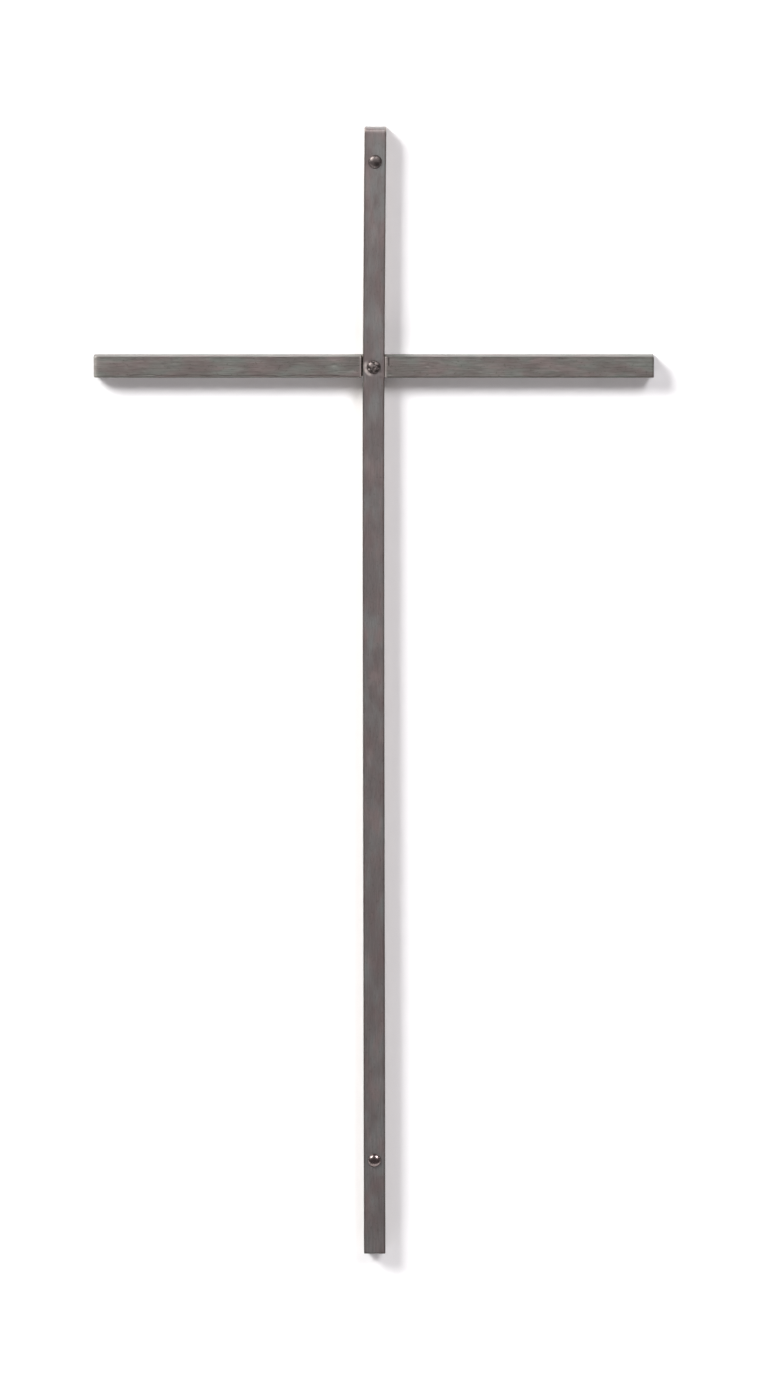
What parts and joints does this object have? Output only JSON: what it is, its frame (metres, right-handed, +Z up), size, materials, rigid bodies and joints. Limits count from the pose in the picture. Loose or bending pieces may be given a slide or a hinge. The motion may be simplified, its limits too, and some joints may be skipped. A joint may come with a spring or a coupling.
{
  "type": "wall cross",
  "caption": "Plain Latin cross of dark patinated square brass bar, halved at the crossing and fixed flat to a wall through its face by domed nails.",
  "frame": {"origin": "middle of the crossing, in the plane of the flat back that lies on the wall", "axes": "+Z up along the upright, +Y into the wall, +X to the right as seen from the front"},
  "size_m": [0.2562, 0.0116, 0.5224],
  "materials": {
    "upright_brass": "satin, dark grey-brown patina with faint lengthwise filing",
    "crossbar_brass": "satin, dark grey-brown patina with stronger lengthwise streaks and small pits",
    "nail_brass": "smoother and darker patina, worn bright where it catches the light"
  },
  "bodies": {
    "root": {"upright": "upright_brass", "crossbar": "crossbar_brass", "nail_top": "nail_brass", "nail_centre": "nail_brass", "nail_foot": "nail_brass"}
  },
  "joints": []
}
